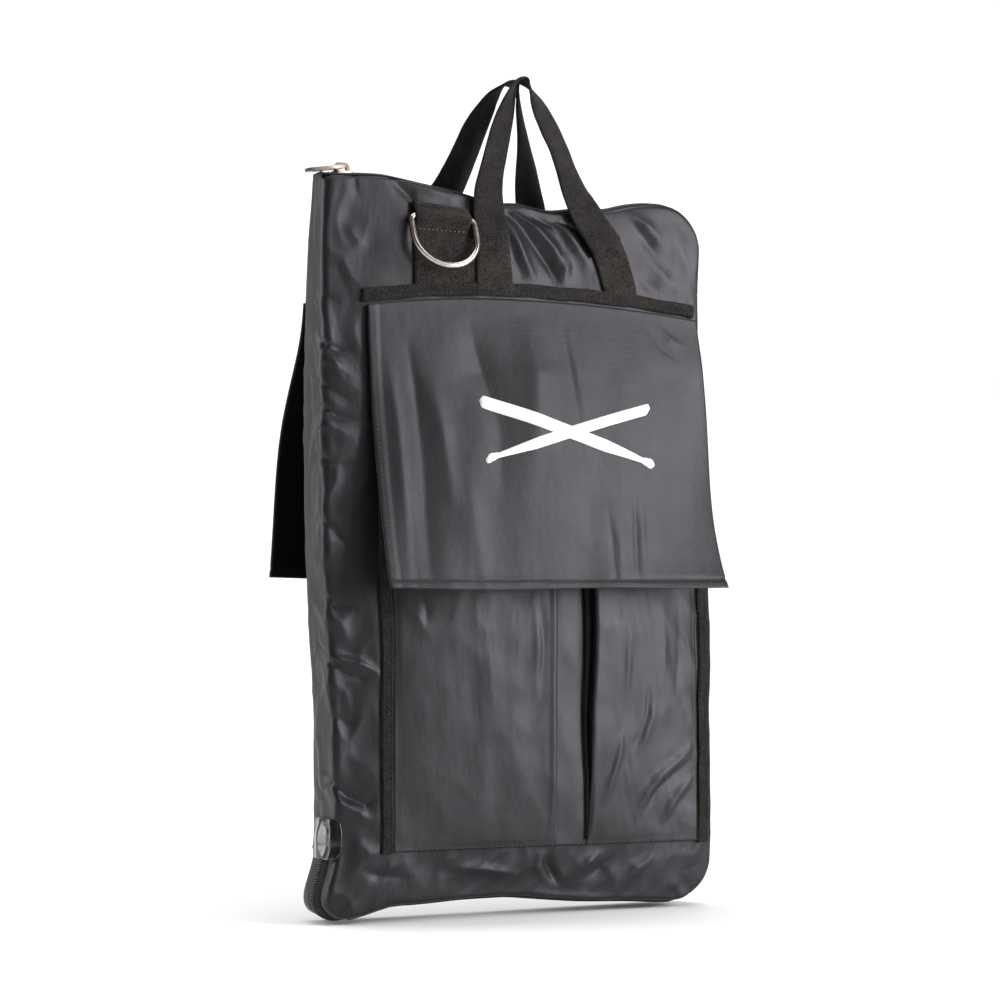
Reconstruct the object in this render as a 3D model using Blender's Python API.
"""Drum stick bag, closed and upright.

A soft case that opens like a book: a front and a back cover of nylon over foam, a fold-out spine
between them, and a zip that runs round the other three sides. Each cover carries an outer pocket
with a flap, a webbing handle and a D-ring, and a stick pocket inside. The back's fittings are the
front's turned half a turn about the upright axis, with its flap set nearer the spine.

Metres, +Z up. The front cover faces -Y, the spine is on the -X side. The origin is on the floor,
at the middle of the overall box.
"""

import math

import bmesh
import bpy
from mathutils import Matrix, Vector

# ---------------------------------------------------------------- driving sizes
# The bag
HEIGHT = 0.480
WIDTH = 0.285
XC = 0.002  # middle of the bag, so that the zip pull's overhang is inside a centred box
XL, XR = XC - WIDTH / 2, XC + WIDTH / 2
T_BOTTOM, T_TOP = 0.042, 0.024  # thickness at the rim, at the floor and at the top
CROWN = 0.005  # how far a cover stands proud of its rim at the middle
R_ZIP = 0.032  # corner radius on the zip side
R_FOOT = 0.018  # corner radius at the foot of the spine
FRONT, BACK = -1, 1  # sign of y on each cover

# Cloth
GAP = 0.0003  # clearance between neighbouring pieces
SHELL, FOAM, LINING = 0.0007, 0.0024, 0.0004
LAYER_INSET = 0.0013  # foam and lining stop this far inside the shell's edge
FOAM_DEPTH = SHELL + GAP
LINING_DEPTH = FOAM_DEPTH + FOAM + GAP
INSIDE_DEPTH = LINING_DEPTH + LINING
LAYERS = [  # name, depth under the outer face, thickness, inset on a cover, look
    ("shell", 0.0, SHELL, 0.0, "nylon"),
    ("foam", FOAM_DEPTH, FOAM, LAYER_INSET, "foam"),
    ("lining", LINING_DEPTH, LINING, LAYER_INSET, "lining"),
]
WEB = 0.0014  # webbing thickness
VELCRO = 0.0009

# Spine
SPINE_Z0 = 0.050
SPINE_Z1 = HEIGHT - 0.0004

# Stick pocket, inside each cover
STICK_TOP = 0.300
STICK_HEM = 0.012  # top of the hem above the pocket's edge
STICK_SPINE_INSET, STICK_ZIP_INSET = 0.012, 0.010
STICK_CLEARANCE = 0.0004
STICK_CLOTH, HEM_CLOTH = 0.0005, 0.0009

# Outer pocket
POCKET_X0, POCKET_X1 = XL + 0.0461, XL + 0.2695
POCKET_Z0, POCKET_Z1 = 0.0445, 0.335
POCKET_CROWN = 0.004
POCKET_CLOTH = 0.0008
EDGE_TAPE = 0.0085  # width of the binding down each side
BINDING = 0.0013
LOOP_X0, LOOP_X1 = XC - 0.062, XC + 0.008
LOOP_ROWS = [0.232, 0.238, 0.245, 0.252]

# Flap
FLAP_X0, FLAP_X1 = XL + 0.0300, XL + 0.2755
FLAP_LENGTH = 0.190
FLAP_START = 0.0010  # top edge of the cloth below the hinge
FLAP_HINGE_Z = 0.4041
FLAP_SLOPE = 0.145  # how fast the flap leaves the hinge plane on its way down
FLAP_CURL = 0.0075  # further reach at the free edge
FLAP_CORNER = 0.0028  # extra reach at the free corner away from the spine
FLAP_TAPE_Z = (0.4057, 0.4130)
FLAP_TAPE = 0.0018
FLAP_TAPE_OVERHANG = 0.002
HOOK_SPAN = (0.158, 0.178)  # hook strip, measured down the flap
HOOK_Y = -0.00125  # its outer face, from the flap's middle surface
BACK_FLAP_SHIFT = 0.0085  # the back's flap is sewn on nearer the spine
BACK_FLAP_BELLY = 0.0125  # and bulges out
BELLY_LENGTH = 0.189  # the bulge dies out this far below the hinge

# D-ring and its tab
TAB_X0, TAB_X1 = XL + 0.0645, XL + 0.1025
TAB_TOP = 0.4650
TAB_HALF = (TAB_X1 - TAB_X0) / 2
RING_CX = (TAB_X0 + TAB_X1) / 2
RING_BAR_Z = 0.4555
RING_WIRE = 0.0021  # wire radius
RING_HALF = TAB_HALF + 0.0012 + RING_WIRE
RING_BAR_HALF = TAB_HALF + 0.0009
RING_DROP = 0.0330  # bar's middle to the bow's middle
RING_BOW_START = 0.0155  # bar's middle to the bow's centre
RING_LEAN = math.radians(4.0)
RING_SIDES = 10

# Handle
SEWN_Z0 = FLAP_TAPE_Z[1] + GAP  # foot of the ring tab and of the handle's ends
HANDLE_WIDTH = 0.025
HANDLE_Z = 0.4485
HANDLE_CLEARANCE = 0.0008  # above and below HANDLE_Z
HANDLE_LEFT, HANDLE_RIGHT = -0.0205, 0.0605  # legs, from the middle of the bag
HANDLE_END_SLANTS = {"left": (HANDLE_LEFT, 0.0015), "right": (HANDLE_RIGHT, 0.0095)}
HANDLE_SQUEEZE = 0.12  # width lost where the webbing is turned on edge

# Zip
ZIP_TAPE = 0.0008
COIL_OUT, COIL_IN, COIL_DEEP = 0.0033, 0.00065, 0.0022
ZIP_START = XL + 0.0052
ZIP_END_Z = 0.046
SLIDER_X = XL + 0.0200
# the front row of the coil begins past the slider, so that the cover can swing clear of it
COIL_START = {"front": SLIDER_X + 0.0077, "back": SLIDER_X - 0.0020}

# ---------------------------------------------------------------- materials
LOOKS = {
    "nylon": dict(colour=(0.055, 0.055, 0.060), roughness=0.42),
    "black_nylon": dict(colour=(0.012, 0.012, 0.013), roughness=0.60),
    "webbing": dict(colour=(0.024, 0.022, 0.020), roughness=0.85),
    "foam": dict(colour=(0.090, 0.090, 0.095), roughness=0.95),
    "lining": dict(colour=(0.030, 0.030, 0.034), roughness=0.70),
    "zip": dict(colour=(0.018, 0.017, 0.017), roughness=0.65),
    "nickel": dict(colour=(0.620, 0.580, 0.540), roughness=0.22, metallic=1.0),
    "vinyl": dict(colour=(0.020, 0.020, 0.022), roughness=0.18),
    "velcro": dict(colour=(0.015, 0.015, 0.016), roughness=0.95),
}


def material(name, colour, roughness, metallic=0.0):
    made = bpy.data.materials.new(name)
    made.use_nodes = True
    shader = made.node_tree.nodes["Principled BSDF"]
    shader.inputs["Base Color"].default_value = (*colour, 1)
    shader.inputs["Roughness"].default_value = roughness
    shader.inputs["Metallic"].default_value = metallic
    made.diffuse_color = (*colour, 1)
    return made


# ---------------------------------------------------------------- objects
def link(name, data):
    obj = bpy.data.objects.new(name, data)
    bpy.context.scene.collection.objects.link(obj)
    return obj


def mesh_object(name, bm):
    bmesh.ops.recalc_face_normals(bm, faces=bm.faces)
    mesh = bpy.data.meshes.new(name)
    bm.to_mesh(mesh)
    bm.free()
    return link(name, mesh)


def finish(name, bm, look):
    """A smooth-shaded object with its own material from a closed bmesh."""
    obj = mesh_object(name, bm)
    obj.data.shade_smooth()
    obj.data.set_sharp_from_angle(angle=math.radians(35))
    obj.data.materials.append(material(name, **LOOKS[look]))
    return obj


def as_helper(obj):
    obj.hide_render = True
    obj.display_type = "WIRE"
    return obj


def boolean(obj, helper, operation):
    modifier = obj.modifiers.new(helper.name, "BOOLEAN")
    modifier.operation = operation
    modifier.object = helper


def origin_at(obj, point):
    """Moves the object's origin to a point, and leaves its shape where it is."""
    obj.data.transform(Matrix.Translation(-Vector(point)))
    obj.location = point
    return obj


def turned_point(x, y, z):
    """The same place on the other cover: half a turn about the bag's upright axis."""
    return (2 * XC - x, -y, z)


def turned(obj, name, mesh):
    other = link(name, mesh)
    other.location = turned_point(*obj.location)
    other.rotation_euler = (0, 0, math.pi)
    return other


# ---------------------------------------------------------------- solids
def spaced(start, end, count):
    """count equal steps from start to end, both included."""
    return [start + (end - start) * k / count for k in range(count + 1)]


def mirrored(outline):
    """Closes a half outline of (x, y) points across y = 0."""
    return outline + [(x, -y) for x, y in outline[::-1]]


def loft(sections, closed=False):
    """Joins rings of points. The ends are capped, or joined to each other if closed."""
    bm = bmesh.new()
    rings = [[bm.verts.new(point) for point in section] for section in sections]
    pairs = list(zip(rings, rings[1:]))
    if closed:
        pairs.append((rings[-1], rings[0]))
    size = len(rings[0])
    for ring, after in pairs:
        for k in range(size):
            q = (k + 1) % size
            bm.faces.new((ring[k], ring[q], after[q], after[k]))
    if not closed:
        bm.faces.new(rings[0])
        bm.faces.new(rings[-1][::-1])
    return bm


def block(low, high):
    bm = bmesh.new()
    bmesh.ops.create_cube(bm, size=1.0)
    for v in bm.verts:
        v.co = Vector([a + (b - a) * (c + 0.5) for a, b, c in zip(low, high, v.co)])
    return bm


def sheet(name, rows, columns, surface, lifts, ends, look, side=FRONT, inner_ends=None):
    """A closed sheet over a grid. surface(x, z) is a distance from the middle plane, lifts are
    the sheet's outer and inner faces above it, and ends(z) is a row's left and right end."""
    bm = bmesh.new()
    grids = []
    for lift, row_ends in zip(lifts, (ends, inner_ends or ends)):
        grid = []
        for z in rows:
            across = spaced(*row_ends(z), columns)
            grid.append([bm.verts.new((x, side * (surface(x, z) + lift), z)) for x in across])
        grids.append(grid)
    a, b = grids
    n, m = len(rows), columns + 1
    for i in range(n - 1):
        for j in range(m - 1):
            bm.faces.new((a[i][j], a[i][j + 1], a[i + 1][j + 1], a[i + 1][j]))
            bm.faces.new((b[i][j], b[i + 1][j], b[i + 1][j + 1], b[i][j + 1]))
    rim = (
        [(0, j) for j in range(m)]
        + [(i, m - 1) for i in range(1, n)]
        + [(n - 1, j) for j in range(m - 2, -1, -1)]
        + [(i, 0) for i in range(n - 2, 0, -1)]
    )
    for (i, j), (p, q) in zip(rim, rim[1:] + rim[:1]):
        bm.faces.new((a[i][j], b[i][j], b[p][q], a[p][q]))
    return finish(name, bm, look)


def between(x0, x1):
    """Row ends that are the same at every height."""
    return lambda z: (x0, x1)


# ---------------------------------------------------------------- the cover's form
def rim(z):
    """Distance of a cover's rim from the middle plane: half the bag's thickness there."""
    return 0.5 * (T_BOTTOM + (T_TOP - T_BOTTOM) * z / HEIGHT)


def face(x, z):
    """Distance of a cover's outer face from the middle plane."""
    u = min(1.0, abs(x - XC) / (WIDTH / 2))
    v = min(1.0, abs(2 * z / HEIGHT - 1))
    return rim(z) + CROWN * (1 - u**3) * (1 - v**3)


def corner_reach(radius, inset, over):
    """Sideways reach of an inset corner from its centre, at a height over past the centre."""
    inner = radius - inset
    over = min(max(over, 0), inner)
    return math.sqrt(inner * inner - over * over)


def left_edge(z, inset):
    return XL + R_FOOT - corner_reach(R_FOOT, inset, R_FOOT - z)


def right_edge(z, inset):
    over = max(z - (HEIGHT - R_ZIP), R_ZIP - z)
    return XR - R_ZIP + corner_reach(R_ZIP, inset, over)


def cover_rows(inset):
    """Heights for a cover's grid, close together round the corners."""
    arc = [(R_ZIP - inset) * math.sin(math.radians(a)) for a in range(0, 91, 15)]
    low = [R_ZIP - rise for rise in arc] + [inset + 0.0045, inset + 0.0018]
    middle = spaced(R_ZIP, HEIGHT - R_ZIP, 10)[1:-1]
    high = [HEIGHT - R_ZIP + rise for rise in arc]
    return sorted(low + middle + high)


# ---------------------------------------------------------------- the covers and the spine
def cover_layer(cover, side, layer, depth, thickness, inset, look):
    """One layer of a cover, mitred at the spine."""

    def ends_at(level):
        return lambda z: (max(left_edge(z, inset), XL + GAP + level), right_edge(z, inset))

    return sheet(f"{cover}_{layer}", cover_rows(inset), 12, face, (-depth, -depth - thickness),
                 ends_at(depth), look, side, inner_ends=ends_at(depth + thickness))


def stick_pocket(cover, side):
    """A panel over the lining, and a thicker hem along its top."""
    outer = -INSIDE_DEPTH - STICK_CLEARANCE
    rows = [0.010, 0.016, 0.024] + spaced(0.034, STICK_TOP, 8)
    hem_rows = [STICK_TOP + GAP, STICK_TOP + STICK_HEM / 2, STICK_TOP + STICK_HEM]

    def ends(z):
        return (XL + STICK_SPINE_INSET, right_edge(z, STICK_ZIP_INSET))

    return [
        sheet(f"{cover}_stick_pocket", rows, 12, face, (outer, outer - STICK_CLOTH),
              ends, "lining", side),
        sheet(f"{cover}_stick_pocket_hem", hem_rows, 12, face, (outer, outer - HEM_CLOTH),
              ends, "webbing", side),
    ]


def path_arc(x, z, radius, degrees):
    turns = [(math.cos(math.radians(a)), math.sin(math.radians(a))) for a in degrees]
    return [(x + radius * c, z + radius * s, c, s) for c, s in turns]


def zip_path(start_x):
    """(x, z, outward x, outward z) along the zip: top edge, zip side, bottom corner and edge,
    foot of the spine."""
    corner_x, corner_z = XR - R_ZIP, HEIGHT - R_ZIP
    return [
        *[(x, HEIGHT, 0, 1) for x in spaced(start_x, corner_x, 4)[:-1]],
        *path_arc(corner_x, corner_z, R_ZIP, range(90, -1, -15)),
        *[(XR, z, 1, 0) for z in spaced(corner_z, R_ZIP, 4)[1:-1]],
        *path_arc(corner_x, R_ZIP, R_ZIP, range(0, -91, -15)),
        *path_arc(XL + R_FOOT, R_FOOT, R_FOOT, range(-90, -181, -18)),
        (XL, ZIP_END_Z, -1, 0),
    ]


def zip_band(name, start_x, far, near, depth, side):
    """A strip along the zip, from far(z) to near off the middle plane, depth thick inwards."""
    sections = []
    for x, z, out_x, out_z in zip_path(start_x):
        corners = ((0, far(z)), (0, near), (depth, near), (depth, far(z)))
        sections.append([(x - out_x * d, side * y, z - out_z * d) for d, y in corners])
    return finish(name, loft(sections), "zip")


def build_cover(cover, side):
    return [
        *[cover_layer(cover, side, *layer) for layer in LAYERS],
        *stick_pocket(cover, side),
        zip_band(f"{cover}_zip_tape", ZIP_START, lambda z: rim(z) - SHELL - GAP,
                 COIL_OUT + GAP, ZIP_TAPE, side),
        zip_band(f"{cover}_zip_coil", COIL_START[cover], lambda z: COIL_OUT,
                 COIL_IN, COIL_DEEP, side),
    ]


def spine_layer(layer, depth, thickness, look):
    inner = depth + thickness
    corners = ((depth, -1), (depth, 1), (inner, 1), (inner, -1))
    sections = [
        [(XL + d, sign * (rim(z) - GAP - d), z) for d, sign in corners]
        for z in spaced(SPINE_Z0, SPINE_Z1, 4)
    ]
    return finish(f"spine_{layer}", loft(sections), look)


END_TAB_Z = (0.0380, 0.0665)
END_TAB_HALF = 0.0135
END_TAB_WIDTHS = (0.80, 0.93, 1.0, 1.0, 0.98, 0.90, 0.62)  # share of the half width, foot to top
END_TAB_CLOTH = 0.0011
END_TAB_LOBE = 0.0019


def zip_end_tab():
    """Glossy tab over the end of the zip: two lobes with a valley between."""
    sections = []
    steps = len(END_TAB_WIDTHS) - 1
    across = spaced(-1, 1, 8)
    for k, (z, share) in enumerate(zip(spaced(*END_TAB_Z, steps), END_TAB_WIDTHS)):
        width = END_TAB_HALF * share
        swell = math.sin(math.pi * (0.12 + 0.76 * k / steps))
        outer = []
        for u in across:
            lobe = math.sin(math.pi * min(1, abs(u) * 1.08)) * swell
            outer.append((XL - GAP - END_TAB_CLOTH - END_TAB_LOBE * lobe, u * width, z))
        inner = [(XL - GAP, u * width, z) for u in across[::-1]]
        sections.append(outer + inner)
    return finish("zip_end_tab", loft(sections), "vinyl")


# ---------------------------------------------------------------- outer pocket
def pocket_inner(x, z):
    """Distance of the pocket's inner face from the middle plane."""
    u = (x - POCKET_X0) / (POCKET_X1 - POCKET_X0)
    v = (z - POCKET_Z0) / (POCKET_Z1 - POCKET_Z0)
    across = math.sqrt(max(0.0, 4 * u * (1 - u)))  # rounding can take it below 0 at the edges
    return face(x, z) + GAP + POCKET_CROWN * across * (0.9 * math.sin(math.pi * v) + 0.13 * v)


def pocket_outer(x, z):
    return pocket_inner(x, z) + POCKET_CLOTH


def pocket_panel():
    return sheet("front_pocket_panel", spaced(POCKET_Z0, POCKET_Z1, 12), 14, pocket_inner,
                 (POCKET_CLOTH, 0), between(POCKET_X0, POCKET_X1), "nylon")


def pocket_binding(label, x0):
    return sheet(f"front_pocket_binding_{label}", spaced(POCKET_Z0, POCKET_Z1, 8), 2, face,
                 (GAP + BINDING, GAP), between(x0, x0 + EDGE_TAPE), "webbing")


def loop_strip():
    return sheet("front_loop_strip", LOOP_ROWS, 4, pocket_outer, (GAP + VELCRO, GAP),
                 between(LOOP_X0, LOOP_X1), "velcro")


# ---------------------------------------------------------------- flap
FLAP_TAPE_MID = sum(FLAP_TAPE_Z) / 2
HINGE_Y = face(XC, FLAP_TAPE_MID) + GAP + FLAP_TAPE / 2
FLAP_PIVOT = (XC, -HINGE_Y - 0.0012, FLAP_HINGE_Z)  # on the outer face, where the cloth creases


def flap_surface(x, z):
    """Distance of the flap's middle surface from the middle plane."""
    u = (x - FLAP_X0) / (FLAP_X1 - FLAP_X0)
    drop = FLAP_HINGE_Z - z
    return HINGE_Y + FLAP_SLOPE * drop + (FLAP_CURL + FLAP_CORNER * u) * (drop / FLAP_LENGTH) ** 2


def flap_tape():
    rows = [FLAP_TAPE_Z[0], FLAP_TAPE_MID, FLAP_TAPE_Z[1]]
    return sheet("front_flap_tape", rows, 12, face, (GAP + FLAP_TAPE, GAP),
                 between(FLAP_X0 - FLAP_TAPE_OVERHANG, FLAP_X1), "webbing")


def flap_piece(name, start, end, counts, lifts, x_range, look):
    """A sheet on the flap, from start to end below the hinge, in counts (rows, columns)."""
    rows = spaced(FLAP_HINGE_Z - end, FLAP_HINGE_Z - start, counts[0])
    obj = sheet(name, rows, counts[1], flap_surface, lifts, between(*x_range), look)
    return origin_at(obj, FLAP_PIVOT)


def flap():
    inset = 0.0012  # the lining stops short of the panel's edge
    return [
        flap_piece("front_flap_panel", FLAP_START, FLAP_LENGTH, (8, 6), (0.00105, 0.00015),
                   (FLAP_X0, FLAP_X1), "nylon"),
        flap_piece("front_flap_lining", FLAP_START, FLAP_LENGTH - inset, (8, 6),
                   (-0.00015, -0.00085), (FLAP_X0 + inset, FLAP_X1 - inset), "black_nylon"),
        flap_piece("front_hook_strip", *HOOK_SPAN, (3, 3), (HOOK_Y, HOOK_Y - VELCRO),
                   (LOOP_X0, LOOP_X1), "velcro"),
    ]


# ---------------------------------------------------------------- D-ring and its tab
def tab_back(z):
    return face(TAB_X1, z) + GAP


RING_Y = tab_back(RING_BAR_Z) + WEB + GAP + RING_WIRE
RING_PIVOT = (RING_CX, -RING_Y, RING_BAR_Z)


def tab_profile():
    """(distance from the middle plane, z): up the back, over the top, round the bar and down."""
    bump = RING_WIRE + GAP + WEB
    profile = [(tab_back(z), z) for z in (SEWN_Z0, 0.425, 0.437, RING_BAR_Z, TAB_TOP)]
    for z, webs in ((TAB_TOP, 1.6), (TAB_TOP - 0.0025, 1.8)):
        profile.append((tab_back(z) + webs * WEB, z))
    profile += [(y, z) for y, z, _, _ in path_arc(RING_Y, RING_BAR_Z, bump, range(65, 14, -25))]
    profile += [(y, z) for y, z, _, _ in path_arc(RING_Y, RING_BAR_Z, bump, range(-15, -66, -25))]
    profile += [(tab_back(z) + WEB, z) for z in (0.4475, 0.437, 0.425, SEWN_Z0)]
    return profile


def ring_tab():
    """Webbing tab that holds the ring's bar, with a channel cut through it for the bar."""
    profile = tab_profile()
    sections = [[(x, -y, z) for y, z in profile] for x in (TAB_X0, TAB_X1)]
    tab = finish("front_ring_tab", loft(sections), "webbing")
    bm = bmesh.new()
    along_bar = Matrix.Translation(RING_PIVOT) @ Matrix.Rotation(math.pi / 2, 4, "Y")
    bmesh.ops.create_cone(bm, cap_ends=True, segments=16, radius1=RING_WIRE + GAP,
                          radius2=RING_WIRE + GAP, depth=0.06, matrix=along_bar)
    boolean(tab, as_helper(mesh_object("ring_bar_cutter", bm)), "DIFFERENCE")
    return tab


def ring_centreline():
    """(x from the ring's middle, distance below the bar) once round the ring."""
    bar = [(x, 0.0) for x in spaced(-RING_BAR_HALF, RING_BAR_HALF, 4)]
    flank = [(RING_HALF - 0.0005, 0.0009)]
    flank += [(RING_HALF + 0.0002 * k, 0.0030 + 0.0052 * k) for k in range(3)]
    bow = []
    for degrees in range(8, 173, 12):
        a = math.radians(degrees)
        reach = (RING_DROP - RING_BOW_START) * math.sin(a)
        bow.append((RING_HALF * math.cos(a), RING_BOW_START + reach))
    return bar + flank + bow + [(-x, drop) for x, drop in flank[::-1]]


def d_ring():
    path = ring_centreline()
    lean_sin, lean_cos = math.sin(RING_LEAN), math.cos(RING_LEAN)
    sections = []
    for i, (x, drop) in enumerate(path):
        before, after = Vector(path[i - 1]), Vector(path[(i + 1) % len(path)])
        tangent = (after - before).normalized()
        section = []
        for k in range(RING_SIDES):
            a = 2 * math.pi * k / RING_SIDES
            across, out = RING_WIRE * math.cos(a), RING_WIRE * math.sin(a)
            down = drop - tangent.x * across
            section.append((
                RING_CX + x + tangent.y * across,
                -RING_Y - down * lean_sin - out * lean_cos,
                RING_BAR_Z - down * lean_cos + out * lean_sin,
            ))
        sections.append(section)
    return origin_at(finish("front_d_ring", loft(sections, closed=True), "nickel"), RING_PIVOT)


# ---------------------------------------------------------------- handle
HANDLE_FACE = max(face(XC + x, HANDLE_Z) for x in (HANDLE_LEFT, HANDLE_RIGHT))
HANDLE_Y = HANDLE_FACE + GAP + WEB / 2
HANDLE_PIVOT = (XC, -HANDLE_Y - WEB / 2, HANDLE_Z)
LOOP_FOOT_Z = HANDLE_Z + HANDLE_CLEARANCE
HANDLE_PATH = [  # x from the middle, z, twist in degrees: up the left leg, over, down the right
    (HANDLE_LEFT, LOOP_FOOT_Z, 0), (-0.0207, 0.4610, 0), (-0.0222, 0.4737, 3),
    (-0.0232, 0.4870, 14), (-0.0224, 0.5002, 27), (-0.0198, 0.5135, 40),
    (-0.0158, 0.5268, 54), (-0.0112, 0.5400, 70), (-0.0080, 0.5490, 84),
    (-0.0050, 0.5535, 90), (-0.0015, 0.5528, 90), (0.0022, 0.5480, 86),
    (0.0072, 0.5400, 74), (0.0150, 0.5268, 56), (0.0222, 0.5135, 42),
    (0.0284, 0.5002, 28), (0.0344, 0.4870, 14), (0.0420, 0.4737, 4),
    (0.0515, 0.4600, 0), (HANDLE_RIGHT, LOOP_FOOT_Z, 0),
]
WEB_SECTION = ((-1, -1), (0, -1), (1, -1), (1, 1), (0, 1), (-1, 1))  # half widths, half thicknesses


def handle_end(label, leg_x, foot_shift):
    """A sewn-down end of the handle, its foot shifted sideways from its top."""
    z0, z1 = SEWN_Z0, HANDLE_Z - HANDLE_CLEARANCE

    def ends(z):
        middle = XC + leg_x + foot_shift * (z1 - z) / (z1 - z0)
        return (middle - HANDLE_WIDTH / 2, middle + HANDLE_WIDTH / 2)

    return sheet(f"front_handle_end_{label}", spaced(z0, z1, 4), 3, face, (GAP + WEB, GAP),
                 ends, "webbing")


def handle_section(i):
    x, z, twist = HANDLE_PATH[i]
    if i == 0:
        tangent = Vector((0, 0, 1))
    elif i == len(HANDLE_PATH) - 1:
        tangent = Vector((0, 0, -1))
    else:
        before, after = HANDLE_PATH[i - 1], HANDLE_PATH[i + 1]
        tangent = Vector((after[0] - before[0], 0, after[1] - before[1])).normalized()
    a = math.radians(twist)
    wide = Vector((math.cos(a), math.sin(a), 0))
    wide = (wide - tangent * wide.dot(tangent)).normalized()
    thin = tangent.cross(wide).normalized()
    centre = Vector((XC + x, -HANDLE_Y, z))
    half_width = HANDLE_WIDTH / 2 * (1 - HANDLE_SQUEEZE * math.sin(a))
    return [centre + wide * (half_width * p) + thin * (WEB / 2 * q) for p, q in WEB_SECTION]


def handle_loop():
    """The loop that swings on the last row of stitches."""
    bm = loft([handle_section(i) for i in range(len(HANDLE_PATH))])
    return origin_at(finish("front_handle_loop", bm, "webbing"), HANDLE_PIVOT)


# ---------------------------------------------------------------- fittings of both covers
def front_fittings():
    """The front cover's outer pieces, by the joint they hang on."""
    return {
        "cover": [
            pocket_panel(),
            pocket_binding("left", POCKET_X0 - GAP - EDGE_TAPE),
            pocket_binding("right", POCKET_X1 + GAP),
            loop_strip(),
            flap_tape(),
            ring_tab(),
            *[handle_end(label, *slant) for label, slant in HANDLE_END_SLANTS.items()],
        ],
        "flap": flap(),
        "ring": [d_ring()],
        "handle": [handle_loop()],
    }


def belly(mesh):
    """Bulges the back's flap outwards. The mesh is in its own frame, from the hinge down."""
    for v in mesh.vertices:
        v.co.y -= BACK_FLAP_BELLY * math.sin(math.pi * min(1.0, -v.co.z / BELLY_LENGTH))


def slide_over(mesh, surface):
    """Moves a piece along with the back's flap, over the surface it lies on."""
    for v in mesh.vertices:
        x = v.co.x
        v.co.x = x + BACK_FLAP_SHIFT
        v.co.y -= surface(x + BACK_FLAP_SHIFT, v.co.z) - surface(x, v.co.z)


def back_fitting(obj, group):
    name = obj.name.replace("front_", "back_")
    other = turned(obj, name, obj.data.copy())
    look = obj.data.materials[0].copy()
    look.name = name
    other.data.materials[0] = look
    if group == "flap":
        belly(other.data)
        other.location.x -= BACK_FLAP_SHIFT
    elif name == "back_flap_tape":
        slide_over(other.data, face)
    elif name == "back_loop_strip":
        slide_over(other.data, pocket_outer)
    for modifier in obj.modifiers:
        helper = modifier.object
        copy = as_helper(turned(helper, "back_" + helper.name, helper.data))
        boolean(other, copy, modifier.operation)
    return other


# ---------------------------------------------------------------- zip slider and pull
PLATE_TOP_Z = HEIGHT + GAP  # underside of the slider's top plate
PLATE_LOW_Z = HEIGHT - COIL_DEEP - GAP  # upper side of its lower plate
PIN_Z = HEIGHT + 0.0052
SLIDER_X0, SLIDER_X1 = SLIDER_X - 0.0065, SLIDER_X + 0.0065
LEAD_HALF, TAIL_HALF = 0.0056, 0.0048  # wide where the rows part, narrow where they join
PLATE_OUTLINE = mirrored([  # x, y
    (SLIDER_X0, LEAD_HALF * 0.55), (SLIDER_X0 + 0.0015, LEAD_HALF),
    (SLIDER_X - 0.001, LEAD_HALF), (SLIDER_X1 - 0.0035, TAIL_HALF),
    (SLIDER_X1 - 0.0006, TAIL_HALF), (SLIDER_X1, TAIL_HALF * 0.8),
])
BRIDGE_FOOT_Z = PLATE_TOP_Z + 0.0009
BRIDGE_HALF = 0.0013
BRIDGE_ARCH = [  # x from the slider's middle, z: over the outside, back along the inside
    (-0.0048, BRIDGE_FOOT_Z), (-0.0048, PIN_Z + 0.0006), (-0.0036, PIN_Z + 0.0021),
    (0.0030, PIN_Z + 0.0021), (0.0048, PIN_Z - 0.0002), (0.0048, BRIDGE_FOOT_Z),
    (0.0034, BRIDGE_FOOT_Z), (0.0030, PIN_Z - 0.0006), (0.0020, PIN_Z + 0.0010),
    (-0.0026, PIN_Z + 0.0010), (-0.0034, PIN_Z), (-0.0034, BRIDGE_FOOT_Z),
]
# the pull lies towards the spine, and droops no lower than the top of the coil
DROOP = math.radians(9.5)
PULL_HALF_THICK = 0.0006
PULL_CUT_REACH = 0.003  # cutters reach this far either side of the pull's middle
PULL_OUTLINE = mirrored([  # distance from the pin, y
    (-0.0007, 0.0032), (0.0052, 0.0034), (0.0085, 0.0041),
    (0.0200, 0.0041), (0.0232, 0.0032), (0.0245, 0.0012),
])
PULL_HOLES = [  # name, start and end from the pin, half width
    ("pull_eye", 0.0007, 0.0064, 0.0018),
    ("pull_slot", 0.0125, 0.0200, 0.0016),
]


def plate(z0, z1):
    return loft([[(x, y, z) for x, y in PLATE_OUTLINE] for z in (z0, z1)])


def divider():
    """The post between the two rows, which joins the plates."""
    x0 = SLIDER_X0 + 0.0006
    return block((x0, -0.00035, PLATE_LOW_Z - 0.0005), (x0 + 0.0036, 0.00035, PLATE_TOP_Z + 0.0007))


def lip(y0, y1):
    """Keeps a row in the channel, under the tape."""
    x0, z0 = SLIDER_X0 + 0.0030, PLATE_LOW_Z - 0.0004
    return block((x0, y0, z0), (x0 + 0.0095, y1, z0 + 0.0018))


def bridge():
    """The arch over the top plate, which holds the pull."""
    return loft([[(SLIDER_X + x, y, z) for x, z in BRIDGE_ARCH] for y in (-BRIDGE_HALF, BRIDGE_HALF)])


def zip_slider():
    slider = finish("zip_slider", plate(PLATE_TOP_Z, PLATE_TOP_Z + 0.0014), "nickel")
    lower = plate(PLATE_LOW_Z - 0.0011, PLATE_LOW_Z)
    pieces = [lower, divider(), lip(-0.0047, -0.0036), lip(0.0036, 0.0047), bridge()]
    for k, bm in enumerate(pieces):
        boolean(slider, as_helper(mesh_object(f"slider_piece_{k}", bm)), "UNION")
    return slider


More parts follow.
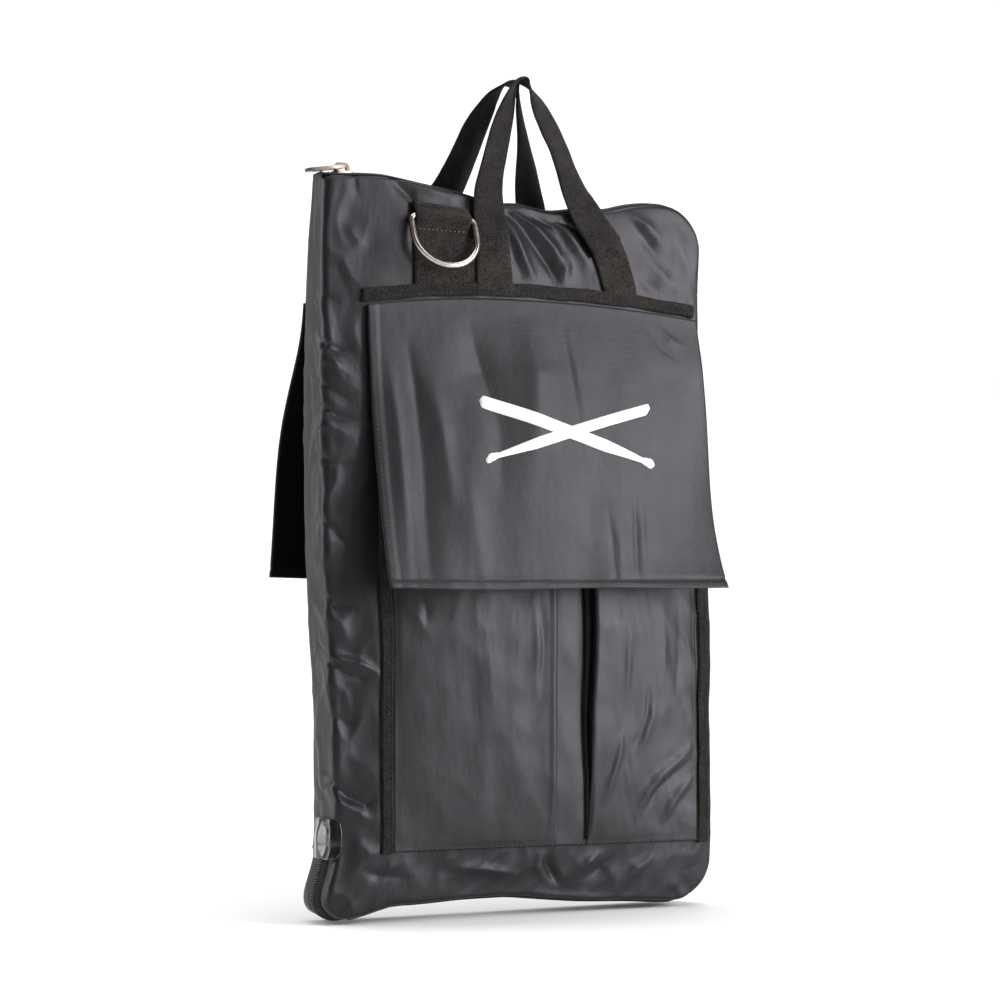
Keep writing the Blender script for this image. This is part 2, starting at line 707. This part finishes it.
def pull_point(along, y, up):
    """A point of the pull from the pin: along towards its tip, y across, up its thickness."""
    return (SLIDER_X - along * math.cos(DROOP) - up * math.sin(DROOP), y,
            PIN_Z - along * math.sin(DROOP) + up * math.cos(DROOP))


def pull_prism(outline, reach):
    return loft([[pull_point(along, y, up) for along, y in outline] for up in (-reach, reach)])


def zip_pull():
    """A flat tab with an eye round the bridge and a slot."""
    pull = finish("zip_pull_tab", pull_prism(PULL_OUTLINE, PULL_HALF_THICK), "nickel")
    for name, start, end, half in PULL_HOLES:
        hole = [(start, -half), (end, -half), (end, half), (start, half)]
        helper = as_helper(mesh_object(name, pull_prism(hole, PULL_CUT_REACH)))
        boolean(pull, helper, "DIFFERENCE")
    return pull


# ---------------------------------------------------------------- joints as parent empties
def under(parent, *objects):
    """Parents objects without moving them."""
    bpy.context.view_layer.update()
    for obj in objects:
        obj.parent = parent
        obj.matrix_parent_inverse = parent.matrix_world.inverted()


def joint(name, point, parent=None):
    made = link(name, None)
    made.location = point
    made.empty_display_size = 0.03
    if parent:
        under(parent, made)
    return made


def hang_fittings(cover, base, fittings, place):
    """Parents a cover's fittings. place puts a front pivot on this cover."""
    under(base, *fittings["cover"])
    for group, pivot in (("flap", FLAP_PIVOT), ("ring", RING_PIVOT), ("handle", HANDLE_PIVOT)):
        under(joint(f"body_{cover}_{group}", place(*pivot), base), *fittings[group])


# ---------------------------------------------------------------- build
for old in list(bpy.data.objects):
    bpy.data.objects.remove(old, do_unlink=True)

back = joint("body_back_cover", (0, 0, 0))
spine = joint("body_spine", (XL, rim(0), 0), back)
front = joint("body_front_cover", (XL, -rim(0), 0), spine)

under(front, *build_cover("front", FRONT))
under(back, *build_cover("back", BACK))
for layer_name, layer_depth, cloth, _, layer_look in LAYERS:
    under(spine, spine_layer(layer_name, layer_depth, cloth, layer_look))
under(spine, zip_end_tab())

on_front = front_fittings()
on_back = {group: [back_fitting(obj, group) for obj in made] for group, made in on_front.items()}
hang_fittings("front", front, on_front, lambda x, y, z: (x, y, z))
hang_fittings("back", back, on_back, turned_point)

slider_joint = joint("body_zip_slider", (SLIDER_X, 0, HEIGHT), back)
under(slider_joint, zip_slider())
under(joint("body_zip_pull", (SLIDER_X, 0, PIN_Z), slider_joint), zip_pull())
